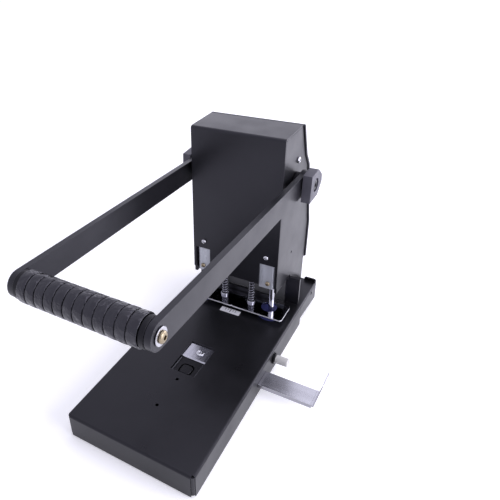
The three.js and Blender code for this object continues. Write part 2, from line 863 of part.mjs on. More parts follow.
function frontCover() {
  const section = foldedSection([
    [towerFront, coverBottom], [towerFront, towerHeight], [towerTopBack - rearCoverSheet - 2 * seat, towerHeight],
  ], towerSheet, sheetBend + seat);
  const shell = alongX(section, -towerHalf, towerHalf);
  const tools = [];
  for (const side of [1, -1]) {
    const outer = towerHalf - coverSliver;
    const inner = outer - bracketWidth - 2 * seat;
    tools.push(sideBlock(
      side, inner, outer, towerFront - cutOver, towerFront + towerSheet + cutOver,
      coverBottom - cutOver, coverNotchTop));
    tools.push(rod('y', smallShank + seat, towerSheet + 2 * cutOver, [
      side * coverScrewX, towerFront - cutOver, coverScrewZ], 16));
  }
  return cut(shell, ...tools);
}

function rearCover() {
  const inner = offsetLine(rearLine, rearCoverSheet);
  return alongX(new THREE.Shape([...rearLine, ...inner.reverse()]), -towerHalf, towerHalf);
}

pair('side_plate', sidePlateSolid, 'tower_paint');
add('front_cover', frontCover(), 'tower_paint');
add('rear_cover', rearCover(), 'tower_paint');

// The upper tie rod takes the side screws in its drilled ends
function tieRod(y, z, bore) {
  const half = plateInner - seat;
  const bar = rod('x', tieRadius, 2 * half, [-half, y, z], 20);
  if (bore === 0) return bar;
  const depth = smallShankLength + cutOver;
  return cut(
    bar,
    rod('x', bore, depth + cutOver, [half - depth, y, z], 12),
    rod('x', bore, depth + cutOver, [-half - cutOver, y, z], 12),
  );
}

add('tie_rod_upper', tieRod(sideScrewY, sideScrewZ, smallShank + seat), 'zinc');
add('tie_rod_lower', tieRod(tieLowerY, tieLowerZ, 0), 'zinc');

pair('side_screw', (side) => sideScrew(
  side, smallHead, smallHeadHeight, smallShank, sidePlate + smallShankLength,
  towerHalf + seat, sideScrewY, sideScrewZ), 'bright_steel');
pair('cover_screw', (side) => frontScrew(
  coverScrewHead, smallHeadHeight, smallShank, towerSheet + seat,
  side * coverScrewX, towerFront - seat, coverScrewZ), 'bright_steel');

// Bush in which the axle turns. Its wide collar fills the room between the tower and an arm.
pair('axle_bush', (side) => {
  const foot = -sidePlate - running;
  const flangeFoot = seat;
  const bore = axleRadius + running;
  const flangeTop = armGap - seat;
  return turned('z', [
    [bore, foot], [bushRadius, foot], [bushRadius, flangeFoot], [bushFlange, flangeFoot],
    [bushFlange, flangeTop], [bore, flangeTop], [bore, foot],
  ], [0, 0, 0], 28)
    .rotate([0, side * 90, 0])
    .translate([side * towerHalf, pivotY, pivotZ]);
}, 'brass');

// Carriage, with the cheeks that the crank pin drives
function carriage() {
  const half = pinX + carriageOverPin;
  const body = block(-half, half, carriageFront, carriageBack, carriageBottom, carriageTop);
  const slotHalfZ = crankPinRadius + crankSlotGap;
  const cheekTop = crankPinZ + slotHalfZ + cheekOverSlot;
  const slot = rectangle(
    pivotY - crankRadius - slotHalfZ - cutOver, crankPinZ - slotHalfZ,
    crankPinY + slotHalfZ + cutOver, crankPinZ + slotHalfZ, slotHalfZ - running);
  const cheek = rectangle(carriageFront, carriageBottom, cheekBack, cheekTop);
  const height = carriageTop - carriageBottom + 2 * cutOver;
  const low = carriageBottom - cutOver;
  const high = carriageTop + cutOver;
  const pieces = [body];
  const tools = [];
  for (const side of [1, -1]) {
    pieces.push(sideAlongX(side, cheek, cheekInner, cheekInner + cheekThickness));
    tools.push(sideAlongX(side, slot, cheekInner - cutOver, cheekInner + cheekThickness + cutOver, 3));
    tools.push(rod('z', postRadius + running, height, [side * postX, pinLine, low], 20));
    tools.push(rod('z', pinRadius + seat, height, [side * pinX, pinLine, low], 20));
    tools.push(rod('y', smallShank + seat, smallShankLength + 2 * cutOver, [
      side * bracketScrewX, carriageFront - cutOver, bracketScrewZ], 12));
    tools.push(sideBlock(
      side, pinX + carriageCorner, half + cutOver, carriageFront - cutOver, pinLine - pinRadius - 3 * seat,
      low, high));
  }
  return cut(join(...pieces), ...tools);
}

// The bracket's foot holds the pin, and its face is screwed to the carriage
function pinBracket(side) {
  const outer = plateInner - 2 * seat;
  const inner = outer - bracketWidth;
  const line = [
    [side * outer, bracketFront + bracketBend + cutOver], [side * outer, bracketFront], [side * inner, bracketFront],
  ];
  if (side < 0) line.reverse();
  const foot = bracketBottom + bracketSheet;
  const hole = [side * pinX, pinLine, bracketBottom - cutOver];
  return cut(
    join(
      alongZ(foldedSection(line, bracketSheet, bracketBend), bracketBottom, bracketTop),
      sideBlock(side, inner, outer - bracketBend, bracketFront, bracketBack, bracketBottom, foot),
      sideBlock(side, inner, outer, bracketFront + bracketBend, bracketBack, bracketBottom, foot),
    ),
    rod('z', pinRadius + seat, bracketSheet + 2 * cutOver, hole, 20),
    rod('y', smallShank + seat, bracketSheet + 2 * cutOver, [
      side * bracketScrewX, bracketFront - cutOver, bracketScrewZ], 12),
  );
}

// A hollow pin: ground cutting edge below, a slot near the top where the chips fall out
function punchPin(side) {
  const place = [side * pinX, pinLine, 0];
  const tube = turned('z', [
    [pinBore, pinTip], [pinRadius, pinTip + 2 * pinBevel], [pinRadius, pinTop - pinBevel],
    [pinRadius - pinBevel, pinTop], [pinBore, pinTop], [pinBore, pinTip],
  ], place, 24);
  const slotFoot = carriageTop + chipSlotFloor;
  const slot = block(
    side * pinX - pinBore, side * pinX + pinBore, pinLine, pinLine + pinRadius + cutOver,
    slotFoot, slotFoot + chipSlotHeight);
  return cut(tube, slot);
}

add('carriage', carriage(), 'zinc');
pair('pin_bracket', pinBracket, 'zinc');
pair('bracket_screw', (side) => frontScrew(
  bracketScrewHead, smallHeadHeight, smallShank, bracketSheet + smallShankLength,
  side * bracketScrewX, bracketFront - seat, bracketScrewZ), 'brass');
pair('punch_pin', punchPin, 'chrome');

// Lever, modelled straight to the front from the pivot and then tilted up to its rest
const lever = new THREE.Group();
lever.position.set(0, pivotY, pivotZ);
lever.rotation.x = -leverTilt;
assembly.add(lever);

function leverArm(side) {
  const half = armWidth / 2;
  const shape = new THREE.Shape();
  shape.moveTo(-leverLength, -half);
  shape.lineTo(0, -half);
  shape.absarc(0, 0, half, -Math.PI / 2, Math.PI / 2);
  shape.lineTo(-leverLength, half);
  shape.absarc(-leverLength, 0, half, Math.PI / 2, 1.5 * Math.PI);
  const bar = sideAlongX(side, shape, armInner, armOuter, 6);
  const boss = sideRod(side, armBoss, armInner, armOuter, 0, 0, 32);
  return cut(
    join(bar, boss),
    sideRod(side, axleRadius + seat, armInner - cutOver, armOuter + cutOver, 0, 0, 24),
    sideRod(side, gripScrewShank + seat, armInner - cutOver, armOuter + cutOver, -leverLength, 0, 20),
  );
}

// One throw of the crankshaft, with a bore for the crank pin
function crank(side) {
  const eyeY = -crankRadius * Math.cos(crankRest);
  const eyeZ = -crankRadius * Math.sin(crankRest);
  const near = crankInner;
  const far = crankInner + crankThickness;
  const across = new THREE.Vector2(-eyeZ, eyeY).normalize();
  const corner = (y, z, reach) => new THREE.Vector2(y + across.x * reach, z + across.y * reach);
  const strap = new THREE.Shape([
    corner(0, 0, -crankHub), corner(0, 0, crankHub), corner(eyeY, eyeZ, crankEye), corner(eyeY, eyeZ, -crankEye),
  ]);
  return cut(
    join(
      sideRod(side, crankHub, near, far, 0, 0, 28),
      sideRod(side, crankEye, near, far, eyeY, eyeZ, 24),
      sideAlongX(side, strap, near, far),
    ),
    sideRod(side, crankPinRadius + seat, near - cutOver, far + cutOver, eyeY, eyeZ, 20),
  );
}

// The hub lies outside the arm, spaced off it by a round boss. The axle ends inside it.
function armHub(side) {
  const points = hubOutline.map(([y, z]) => new THREE.Vector2(y, z));
  const body = sideAlongX(side, new THREE.Shape(roundedLine(points, hubBend, 3)), hubInner, hubOuter);
  const spacer = sideRod(side, hubSpacerRadius, armOuter + seat, hubInner + cutOver, 0, 0, 32);
  return cut(
    join(body, spacer),
    sideRod(side, axleRadius + seat, armOuter, axleHalfLength + seat, 0, 0, 24),
    sideRod(side, hubScrewShank + seat, axleHalfLength, hubOuter + cutOver, 0, 0, 16),
    sideRod(side, hubRecess, hubOuter - hubRecessDepth, hubOuter + cutOver, 0, 0, 32),
  );
}

function ribbedGrip() {
  const length = 2 * (armInner - seat - collarLength - seat);
  const rib = length / gripRibs;
  const bore = gripRodRadius + seat;
  const profile = [[bore, 0]];
  for (let k = 0; k < gripRibs; k += 1) {
    const from = k * rib;
    const to = from + rib;
    profile.push([gripRadius - gripGroove, from]);
    profile.push([gripRadius - gripGroove, from + gripGrooveWidth / 2]);
    profile.push([gripRadius, from + gripGrooveWidth]);
    profile.push([gripRadius, to - gripGrooveWidth]);
    profile.push([gripRadius - gripGroove, to - gripGrooveWidth / 2]);
  }
  profile.push([gripRadius - gripGroove, length]);
  profile.push([bore, length]);
  profile.push([bore, 0]);
  return turned('x', profile, [-length / 2, -leverLength, 0], 32);
}

function leverAxle() {
  const bar = rod('x', axleRadius, 2 * axleHalfLength, [-axleHalfLength, 0, 0], 24);
  const depth = hubScrewLength;
  return cut(
    join(bar, crank(1), crank(-1)),
    rod('x', hubScrewShank + seat, depth + cutOver, [axleHalfLength - depth, 0, 0], 16),
    rod('x', hubScrewShank + seat, depth + cutOver, [-axleHalfLength - cutOver, 0, 0], 16),
  );
}

pair('lever_arm', leverArm, 'lever_paint', lever);
add('lever_axle', leverAxle(), 'bright_steel', lever);
pair('arm_hub', armHub, 'lever_paint', lever);
const hubScrewSeat = hubOuter - hubRecessDepth + seat;
pair('hub_screw', (side) => sideScrew(
  side, hubScrewHead, hubScrewHeight, hubScrewShank, hubScrewSeat - axleHalfLength + hubScrewLength / 2,
  hubScrewSeat, 0, 0), 'bright_steel', lever);

const crankPinHalf = crankInner + crankThickness + cutOver;
add('crank_pin', rod('x', crankPinRadius, 2 * crankPinHalf, [
  -crankPinHalf, -crankRadius * Math.cos(crankRest), -crankRadius * Math.sin(crankRest)], 20), 'bright_steel', lever);

// Grip: a rod with a collar at each end, and a ribbed sleeve between the collars
function gripRod() {
  const half = armInner - seat;
  const neck = half - collarLength;
  const bore = gripScrewShank + seat;
  const depth = gripScrewLength + cutOver;
  const bar = turned('x', [
    [0, -half], [collarRadius, -half], [collarRadius, -neck], [gripRodRadius, -neck],
    [gripRodRadius, neck], [collarRadius, neck], [collarRadius, half], [0, half],
  ], [0, -leverLength, 0], 28);
  return cut(
    bar,
    rod('x', bore, depth + cutOver, [half - depth, -leverLength, 0], 16),
    rod('x', bore, depth + cutOver, [-half - cutOver, -leverLength, 0], 16),
  );
}

add('grip_rod', gripRod(), 'black_plastic', lever);
add('grip_sleeve', ribbedGrip(), 'black_rubber', lever);
pair('grip_washer', (side) => {
  const near = armOuter + seat;
  const far = near + gripWasherThickness;
  return cut(
    sideRod(side, gripWasher, near, far, -leverLength, 0, 32),
    sideRod(side, gripScrewShank + seat, near - cutOver, far + cutOver, -leverLength, 0, 16),
  );
}, 'bright_steel', lever);
pair('grip_screw', (side) => sideScrew(
  side, gripScrewHead, gripScrewHeight, gripScrewShank,
  armThickness + gripWasherThickness + gripScrewLength,
  armOuter + gripWasherThickness + 2 * seat, -leverLength, 0), 'brass', lever);

// Side guide: a flat arm with a lip along its front, turned up at its outer end
const guide = new THREE.Group();
assembly.add(guide);

function guideArm() {
  const under = guideTop - guideSheet;
  const bend = guideOuter - guideSheet;
  const flat = block(guideInnerEnd, bend, guideFront, guideBack, under, guideTop);
  const lip = block(guideInnerEnd, bend, guideFront, guideFront + guideSheet, guideTop - guideLip, guideTop);
  const end = alongX(rectangle(guideFront, 0, guideBack, guideEndHeight, guideEndCorner), 0, guideSheet / 2, 3);
  const foot = block(-guideSheet, guideSheet / 2, guideFront, guideBack, 0, guideSheet);
  const upright = join(end, foot)
    .rotate([0, THREE.MathUtils.radToDeg(guideEndLean), 0])
    .translate([guideOuter - guideSheet / 2, 0, under]);
  return join(flat, lip, upright);
}

add('guide_arm', guideArm(), 'bright_steel', guide);

// Rail under the arm, and the tab that takes the lock screw
function guideRail() {
  const front = guideFront + guideSheet + railGap;
  const back = front + railWidth;
  const top = guideTop - guideSheet - seat;
  const foot = bottomPlateTop + seat;
  const channel = foldedSection([[front, foot], [front, top], [back, top], [back, foot]], railSheet, railSheet + seat);
  const half = baseHalf - railInset;
  const rail = alongX(channel, -half, half);
  const inner = lockTabX - railSheet;
  const floor = block(inner - railWidth, lockTabX, back - railSheet, lockTabBack, foot, foot + railSheet);
  const tab = block(inner, lockTabX, lockTabFront, lockTabBack, foot, lockTabHeight);
  const hole = rod('x', knobShank + running, railSheet + 2 * cutOver, [inner - cutOver, knobY, knobZ], 16);
  return cut(join(rail, floor, tab), hole);
}

add('guide_rail', guideRail(), 'zinc');

const knobStart = baseHalf + seat + lockWasherThickness + seat;
add('lock_knob', turned('x', [
  [0, lockTabX - railSheet - cutOver], [knobShank, lockTabX - railSheet - cutOver], [knobShank, knobStart],
  [knobRadius - knobEdge, knobStart], [knobRadius, knobStart + knobEdge],
  [knobRadius, knobStart + knobLength - knobEdge], [knobRadius - knobEdge, knobStart + knobLength],
  [0, knobStart + knobLength],
], [0, knobY, knobZ], 24), 'off_white');

const washerStart = baseHalf + seat;
add('lock_washer', turned('x', [
  [knobShank + running, washerStart], [lockWasher, washerStart],
  [lockWasher, washerStart + lockWasherThickness], [knobShank + running, washerStart + lockWasherThickness],
  [knobShank + running, washerStart],
], [0, knobY, knobZ], 24), 'black_plastic');

// Release button and its pocket below the window
function buttonPocket() {
  const body = block(-pocketHalfWidth, pocketHalfWidth, pocketFront, pocketBack, pocketFloor, pocketTop);
  const rims = [1, -1].map((side) => sideBlock(
    side, pocketHalfWidth - pocketWing, pocketHalfWidth, pocketFront, pocketBack, pocketTop - cutOver,
    sheetUnder - seat));
  const ridges = [1, -1].map((side) => sideBlock(
    side, pocketWingX, pocketWingX + pocketWing, pocketFront + pocketWing, pocketBack - pocketWing,
    pocketTop - cutOver, buttonTop));
  return cut(
    join(body, ...rims, ...ridges),
    alongZ(buttonOutline(-pocketRecess), pocketLedge, baseTop, 3),
    alongZ(buttonOutline(-buttonGap), pocketFloor - cutOver, baseTop, 3),
  );
}

function buttonOutline(inset) {
  const x = buttonWidth / 2 - inset;
  const y = buttonDepth / 2 - inset;
  return rectangle(-x, buttonY - y, x, buttonY + y, buttonCorner - inset);
}

function releaseButton() {
  return alongZ(buttonOutline(0), buttonBottom, buttonTop, 3);
}

add('button_pocket', buttonPocket(), 'black_plastic');
add('release_button', releaseButton(), 'black_plastic');

// Bright plate under the cover, seen through the window behind the button
function windowPlate() {
  const top = sheetUnder - seat;
  const section = foldedSection([
    [plateFront, top - plateLip], [plateFront, top], [plateBack, top],
  ], plateSheet, plateSheet + seat);
  return cut(
    alongX(section, -plateHalf, plateHalf),
    rod('z', smallShank + seat, plateSheet + 2 * cutOver, [
      plateScrewX, plateScrewY, top - plateSheet - cutOver], 16),
  );
}

add('window_plate', windowPlate(), 'chrome');
add('window_screw', screwSolid(plateScrewHead, plateScrewHeight, smallShank, plateScrewLength)
  .translate([plateScrewX, plateScrewY, sheetUnder]), 'bright_steel');

export default assembly;
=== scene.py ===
import json
import math

import bmesh
import bpy
from mathutils import Euler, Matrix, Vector

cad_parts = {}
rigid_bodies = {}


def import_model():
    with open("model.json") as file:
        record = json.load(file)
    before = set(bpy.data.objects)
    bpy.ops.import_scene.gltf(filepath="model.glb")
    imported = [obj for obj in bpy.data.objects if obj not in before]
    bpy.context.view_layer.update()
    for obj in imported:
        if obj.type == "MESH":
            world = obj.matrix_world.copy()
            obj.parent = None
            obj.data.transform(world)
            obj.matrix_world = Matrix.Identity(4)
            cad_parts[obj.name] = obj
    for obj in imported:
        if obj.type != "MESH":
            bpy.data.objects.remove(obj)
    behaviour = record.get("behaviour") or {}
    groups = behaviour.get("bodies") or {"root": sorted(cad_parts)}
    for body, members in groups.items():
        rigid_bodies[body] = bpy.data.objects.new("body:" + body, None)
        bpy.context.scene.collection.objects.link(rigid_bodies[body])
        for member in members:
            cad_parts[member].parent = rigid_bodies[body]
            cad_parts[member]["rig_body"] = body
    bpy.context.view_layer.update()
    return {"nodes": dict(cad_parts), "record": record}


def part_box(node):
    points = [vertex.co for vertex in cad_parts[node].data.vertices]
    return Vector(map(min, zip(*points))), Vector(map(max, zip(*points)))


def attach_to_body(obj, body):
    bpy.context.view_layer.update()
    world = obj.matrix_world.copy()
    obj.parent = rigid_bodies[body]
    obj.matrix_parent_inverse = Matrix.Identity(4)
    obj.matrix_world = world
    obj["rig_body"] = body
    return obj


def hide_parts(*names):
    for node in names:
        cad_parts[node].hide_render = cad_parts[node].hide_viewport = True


# The dressed model of a heavy duty hole punch. X is right, Y is back from the pin line, Z is up.
# Sizes are written in millimetres, and the meshes are made in metres.

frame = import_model()

MM = 0.001
SLOT = {part["node"]: part["material_slot"] for part in frame["record"]["subparts"]}
SIDES = ((1, "right"), (-1, "left"))


# Materials

NOISE_RANGE = (0.3, 0.7)            # nearly all values of a noise texture lie between these
COOL_GLOSS = (0.88, 0.87, 1.0, 1)
RUBBED_PAINT = (74, 73, 80)
RUBBED_CASTING = (104, 103, 110)
WEAR_RADIUS = 0.0006
WEAR_SAMPLES = 4
WEAR_TURN = (0.90, 0.995)           # cosine of the turn at a worn edge and beside it
WEAR_PATCHES = 180                  # scale of the noise that breaks up the wear
WEAR_BREAKS = (0.4, 0.6)            # the noise's values between thin and full wear
THIN_WEAR = 0.25
BRUSHED = {"stretch": (0.02, 1, 1), "bump": 0.02, "scale": 300, "tone": 0.06}


def linear(rgb):
    """A written colour, 0 to 255, as the shader's linear one."""
    return tuple((c / 12.92 if c <= 0.04045 else ((c + 0.055) / 1.055) ** 2.4)
                 for c in (v / 255 for v in rgb))


def map_range(nodes, links, value, low, high, start=0.0, end=1.0):
    """Values from start to end become values from low to high."""
    node = nodes.new("ShaderNodeMapRange")
    for name, number in (("From Min", start), ("From Max", end), ("To Min", low), ("To Max", high)):
        node.inputs[name].default_value = number
    links.new(value, node.inputs["Value"])
    return node.outputs["Result"]


class Shader:
    """A Principled material whose nodes are added one after the other."""

    def __init__(self, name, rgb, rough, metal=0.0, stretch=(1, 1, 1)):
        self.material = bpy.data.materials.new(name)
        self.material.use_nodes = True
        tree = self.material.node_tree
        self.nodes, self.links = tree.nodes, tree.links
        self.main = self.nodes["Principled BSDF"]
        self.rgb = linear(rgb)
        self.rough = rough
        self.main.inputs["Base Color"].default_value = (*self.rgb, 1)
        self.main.inputs["Roughness"].default_value = rough
        self.main.inputs["Metallic"].default_value = metal
        place = self.nodes.new("ShaderNodeTexCoord")
        self.mapping = self.nodes.new("ShaderNodeMapping")
        self.mapping.inputs["Scale"].default_value = stretch
        self.links.new(place.outputs["Object"], self.mapping.inputs["Vector"])
        self.colour = None
        self.roughness = None
        self.normal = None

    def noise(self, scale, detail):
        node = self.nodes.new("ShaderNodeTexNoise")
        node.inputs["Scale"].default_value = scale
        node.inputs["Detail"].default_value = detail
        self.links.new(self.mapping.outputs["Vector"], node.inputs["Vector"])
        return node.outputs["Fac"]

    def spread(self, value, low, high, values=NOISE_RANGE):
        return map_range(self.nodes, self.links, value, low, high, *values)

    def times(self, a, b):
        """The product of an output and an output or a number."""
        node = self.nodes.new("ShaderNodeMath")
        node.operation = "MULTIPLY"
        self.links.new(a, node.inputs[0])
        if isinstance(b, float):
            node.inputs[1].default_value = b
        else:
            self.links.new(b, node.inputs[1])
        return node.outputs[0]

    def mix(self, share, below, above):
        """A colour between two, each a colour or another node's output."""
        node = self.nodes.new("ShaderNodeMix")
        node.data_type = "RGBA"
        sockets = (node.inputs[0], node.inputs[6], node.inputs[7])
        for socket, value in zip(sockets, (share, below, above)):
            if isinstance(value, tuple):
                socket.default_value = (*value, 1)
            else:
                self.links.new(value, socket)
        return node.outputs[2]

    def tone(self, scale, amount):
        """Lighter and darker places."""
        low = tuple(c * (1 - amount) for c in self.rgb)
        high = tuple(min(1, c * (1 + amount)) for c in self.rgb)
        self.colour = self.mix(self.spread(self.noise(scale, 3.0), 0, 1), low, high)
        return self

    def smudge(self, scale, amount):
        """Duller and glossier places."""
        low, high = max(0.03, self.rough - amount), min(1, self.rough + amount)
        self.roughness = self.spread(self.noise(scale, 4.0), low, high)
        return self

    def bump(self, scale, strength, distance=0.0002):
        """Fine unevenness, on top of the coarser one that is there."""
        node = self.nodes.new("ShaderNodeBump")
        node.inputs["Strength"].default_value = strength
        node.inputs["Distance"].default_value = distance
        self.links.new(self.noise(scale, 3.0), node.inputs["Height"])
        if self.normal is not None:
            self.links.new(self.normal, node.inputs["Normal"])
        self.normal = node.outputs["Normal"]
        return self

    def wear(self, rgb, amount):
        """The edges are rubbed paler, in broken lengths. It comes after tone."""
        rounded = self.nodes.new("ShaderNodeBevel")
        rounded.samples = WEAR_SAMPLES
        rounded.inputs["Radius"].default_value = WEAR_RADIUS
        flat = self.nodes.new("ShaderNodeNewGeometry")
        turn = self.nodes.new("ShaderNodeVectorMath")
        turn.operation = "DOT_PRODUCT"
        self.links.new(rounded.outputs["Normal"], turn.inputs[0])
        self.links.new(flat.outputs["True Normal"], turn.inputs[1])
        edge = self.spread(turn.outputs["Value"], 1, 0, WEAR_TURN)
        broken = self.spread(self.noise(WEAR_PATCHES, 4.0), THIN_WEAR, 1, WEAR_BREAKS)
        share = self.times(self.times(edge, broken), amount)
        self.colour = self.mix(share, self.colour, linear(rgb))
        return self

    def gloss(self, level):
        """A cool gloss of the given strength."""
        self.main.inputs["Specular IOR Level"].default_value = level
        self.main.inputs["Specular Tint"].default_value = COOL_GLOSS
        return self

    def done(self):
        for value, socket in ((self.colour, "Base Color"), (self.roughness, "Roughness"),
                              (self.normal, "Normal")):
            if value is not None:
                self.links.new(value, self.main.inputs[socket])
        return self.material


def paint(name, rgb, rough, level=0.42):
    return (Shader(name, rgb, rough).tone(60, 0.06).smudge(34, 0.05).bump(1500, 0.12)
            .wear(RUBBED_PAINT, 0.5).gloss(level).done())


def plastic(name, rgb, rough, bump=0.12, level=0.4):
    return (Shader(name, rgb, rough).tone(90, 0.05).smudge(120, 0.06).bump(2200, bump, 0.0001)
            .gloss(level).done())


def steel(name, rgb, rough, spread, stretch=(1, 1, 1), bump=0.05, scale=500, tone=0.04, metal=1.0):
    return (Shader(name, rgb, rough, metal, stretch).tone(scale / 3, tone).smudge(scale, spread)
            .bump(scale, bump, 0.0001).done())


MATERIALS = {
    "base_paint": paint("satin_base_paint", (17, 17, 19), 0.32, 0.34),
    "tower_paint": paint("satin_tower_paint", (19, 19, 22), 0.34),
    "lever_paint": paint("satin_lever_paint", (21, 21, 24), 0.36),
    "hub_casting": (Shader("cast_hub_paint", (72, 71, 78), 0.46).tone(90, 0.08).smudge(60, 0.06)
                    .bump(700, 0.25).wear(RUBBED_CASTING, 0.5).gloss(0.5).done()),
    "rubber_foot": (Shader("black_foot_rubber", (24, 24, 25), 0.8).tone(70, 0.1)
                    .bump(1100, 0.3).done()),
    "rubber_grip": (Shader("black_grip_rubber", (7, 7, 9), 0.19).tone(50, 0.08).smudge(60, 0.08)
                    .bump(90, 0.9, 0.003).bump(900, 0.1).gloss(0.65).done()),
    "black_plastic": plastic("black_plastic", (11, 11, 13), 0.42, level=0.25),
    "ridge_plastic": plastic("ridge_plastic", (44, 44, 48), 0.3),
    "disc_plastic": plastic("blue_disc_plastic", (70, 74, 132), 0.4),
    "white_plastic": plastic("off_white_plastic", (198, 197, 194), 0.45, 0.08),
    "mark_white": plastic("pale_mark", (214, 214, 218), 0.4, 0.05),
    "polished_steel": steel("polished_steel", (196, 196, 204), 0.09, 0.03, scale=260, bump=0.02),
    # Pale steel: the press plate's bare cut edge, and a painted highlight on the guide arm's bend.
    "cut_edge_and_highlight_steel": steel("cut_edge_and_painted_highlight_steel", (232, 232, 238), 0.34, 0.08, scale=900, bump=0.08,
                       metal=0.3),
    "satin_steel": steel("satin_steel", (192, 192, 200), 0.19, 0.04, stretch=(1, 0.05, 1),
                         scale=420, bump=0.03),
    "bright_steel": steel("bright_steel", (190, 190, 195), 0.22, 0.06),
    "brushed_steel": steel("brushed_steel", (214, 214, 220), 0.2, 0.03, **BRUSHED),
    # A darker copy of the brushed steel: painted shade on the front of the guide arm's lip.
    "lip_painted_shade_steel": steel("brushed_steel_painted_lip_shade", (150, 150, 156), 0.26, 0.03, **BRUSHED),
    "dark_steel": steel("dark_steel", (84, 84, 90), 0.2, 0.06),
    "spring_steel": steel("dark_spring_steel", (150, 150, 158), 0.2, 0.06),
    "black_screw": steel("blackened_steel", (58, 58, 62), 0.34, 0.08),
    "zinc_steel": steel("zinc_plated_steel", (196, 199, 206), 0.36, 0.1, stretch=(1, 1, 0.12),
                        scale=420, bump=0.06, tone=0.12, metal=0.35),
    "brass": steel("plain_brass", (150, 138, 116), 0.3, 0.08, scale=700),
    "mark_ink": plastic("dark_mark_ink", (52, 52, 56), 0.5),
}


def dress(obj, key):
    """Every material slot of a CAD node gets the named material."""
    if not obj.material_slots:
        obj.data.materials.append(None)
    for entry in obj.material_slots:
        entry.link = "OBJECT"
        entry.material = MATERIALS[key]


for node, cad in frame["nodes"].items():
    dress(cad, SLOT[node])


# Pieces

WELD = 1e-6
FLAT_TURN = 0.6         # degrees: faces that turn by less are one face
HARD_TURN = 30          # degrees: edges that turn by more are rounded
SIDE_BAND = 0.2         # how near to the outermost side the points lie that stand proud


def attach(obj, node, key, replaces=True):
    """A finished piece gets its material and rides where the node rides."""
    obj.data.materials.clear()
    obj.data.materials.append(MATERIALS[key])
    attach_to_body(obj, frame["nodes"][node]["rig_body"])
    if replaces:
        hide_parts(node)
    return obj


def finish_mesh(bm, name, angle):
    """A mesh object with smooth faces, and hard edges only where it turns by more than angle."""
    bmesh.ops.recalc_face_normals(bm, faces=bm.faces)
    for face in bm.faces:
        face.smooth = True
    mesh = bpy.data.meshes.new(name)
    bm.to_mesh(mesh)
    bm.free()
    mesh.set_sharp_from_angle(angle=math.radians(angle))
    obj = bpy.data.objects.new(name, mesh)
    bpy.context.scene.collection.objects.link(obj)
    weighted = obj.modifiers.new("flat_faces_stay_flat", "WEIGHTED_NORMAL")
    weighted.keep_sharp = True
    return obj


def round_edges(bm, edges, width, segments):
    bmesh.ops.bevel(bm, geom=edges, offset=width * MM, offset_type="OFFSET", segments=segments,
                    profile=0.5, affect="EDGES", clamp_overlap=True)


def soften(node, width, key=None, slot=None, segments=2, proud=0.0):
    """The node's own shape with every hard edge rounded, and its sides moved outward by proud."""
    bm = bmesh.new()
    bm.from_mesh(frame["nodes"][node].data)
    bmesh.ops.remove_doubles(bm, verts=bm.verts, dist=WELD)
    bmesh.ops.dissolve_limit(bm, angle_limit=math.radians(FLAT_TURN), verts=bm.verts,
                             edges=bm.edges)
    edge = max(v.co.x for v in bm.verts) - SIDE_BAND * MM
    for v in bm.verts:
        if proud and abs(v.co.x) > edge:
            v.co.x += math.copysign(proud * MM, v.co.x)
    bm.normal_update()
    hard = math.radians(HARD_TURN)
    round_edges(bm, [e for e in bm.edges if e.is_manifold and e.calc_face_angle() > hard],
                width, segments)
    return attach(finish_mesh(bm, node + "_shell", 50), node, key or SLOT[node])


def repaint(piece, keys, finish):
    """More materials for a piece, and each face gets the number that finish gives it."""
    for key in keys:
        piece.data.materials.append(MATERIALS[key])
    for face in piece.data.polygons:
        face.material_index = finish(face)


def arm_painted_shade_and_highlight(face):
    """The guide arm: 1 on the front of its lip, where a darker steel paints shade; 2 on the bend
    above it, where a paler steel paints a highlight.
    """
    forward, upward = -face.normal.y, face.normal.z
    if forward > 0.2 and upward > 0.2:
        return 2
    return int(forward > 0.5)


PLATE_SIDE, PLATE_FRONT, PLATE_BACK = 50, -13, 9.5     # just inside the press plate's border


def plate_finish(face):
    """The press plate: 1 on its cut outer edge."""
    x, y = abs(face.center.x) / MM, face.center.y / MM
    border = x > PLATE_SIDE or y < PLATE_FRONT or y > PLATE_BACK
    return int(border and abs(face.normal.z) < 0.8)


AXES = {
    # the turned piece's own direction, and two across it
    "x": (Vector((1, 0, 0)), Vector((0, 1, 0)), Vector((0, 0, 1))),
    "-x": (Vector((-1, 0, 0)), Vector((0, 1, 0)), Vector((0, 0, 1))),
    "-y": (Vector((0, -1, 0)), Vector((1, 0, 0)), Vector((0, 0, 1))),
    "z": (Vector((0, 0, 1)), Vector((1, 0, 0)), Vector((0, 1, 0))),
}


def rings(bm, profile, axis, place, count, closed=False):
    """A turned solid from heights along the axis, each with a radius or a function of the angle."""
    along, side, up = AXES[axis]
    made = []
    for height, radius in profile:
        centre = Vector(place) + along * height
        if radius == 0:
            made.append([bm.verts.new(centre * MM)])
            continue
        ring = []
        for i in range(count):
            turn = 2 * math.pi * i / count
            r = radius(turn) if callable(radius) else radius
            point = centre + side * (r * math.cos(turn)) + up * (r * math.sin(turn))
            ring.append(bm.verts.new(point * MM))
        made.append(ring)
    pairs = list(zip(made, made[1:]))
    if closed:
        pairs.append((made[-1], made[0]))
    for low, high in pairs:
        for i in range(count):
            j = (i + 1) % count
            if len(low) == 1:
                bm.faces.new((low[0], high[i], high[j]))
            elif len(high) == 1:
                bm.faces.new((low[i], low[j], high[0]))
            else:
                bm.faces.new((low[i], low[j], high[j], high[i]))


def turned(name, profile, axis, place, count, angle, closed=False):
    """A turned piece as an object."""
    bm = bmesh.new()
    rings(bm, profile, axis, place, count, closed)
    return finish_mesh(bm, name, angle)


def hexagon(corner):
    """The radius of a hexagon at an angle."""
    sixth = math.pi / 3
    return lambda turn: corner * math.cos(sixth / 2) / math.cos(turn % sixth - sixth / 2)


def ribbed(radius, depth, ribs):
    """The radius of a round with rounded grooves at an angle."""
    return lambda turn: radius - depth * (0.5 - 0.5 * math.cos(ribs * turn)) ** 2


def middle(node):
    low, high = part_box(node)
    return (low + high) / 2 / MM


# Screws and washers

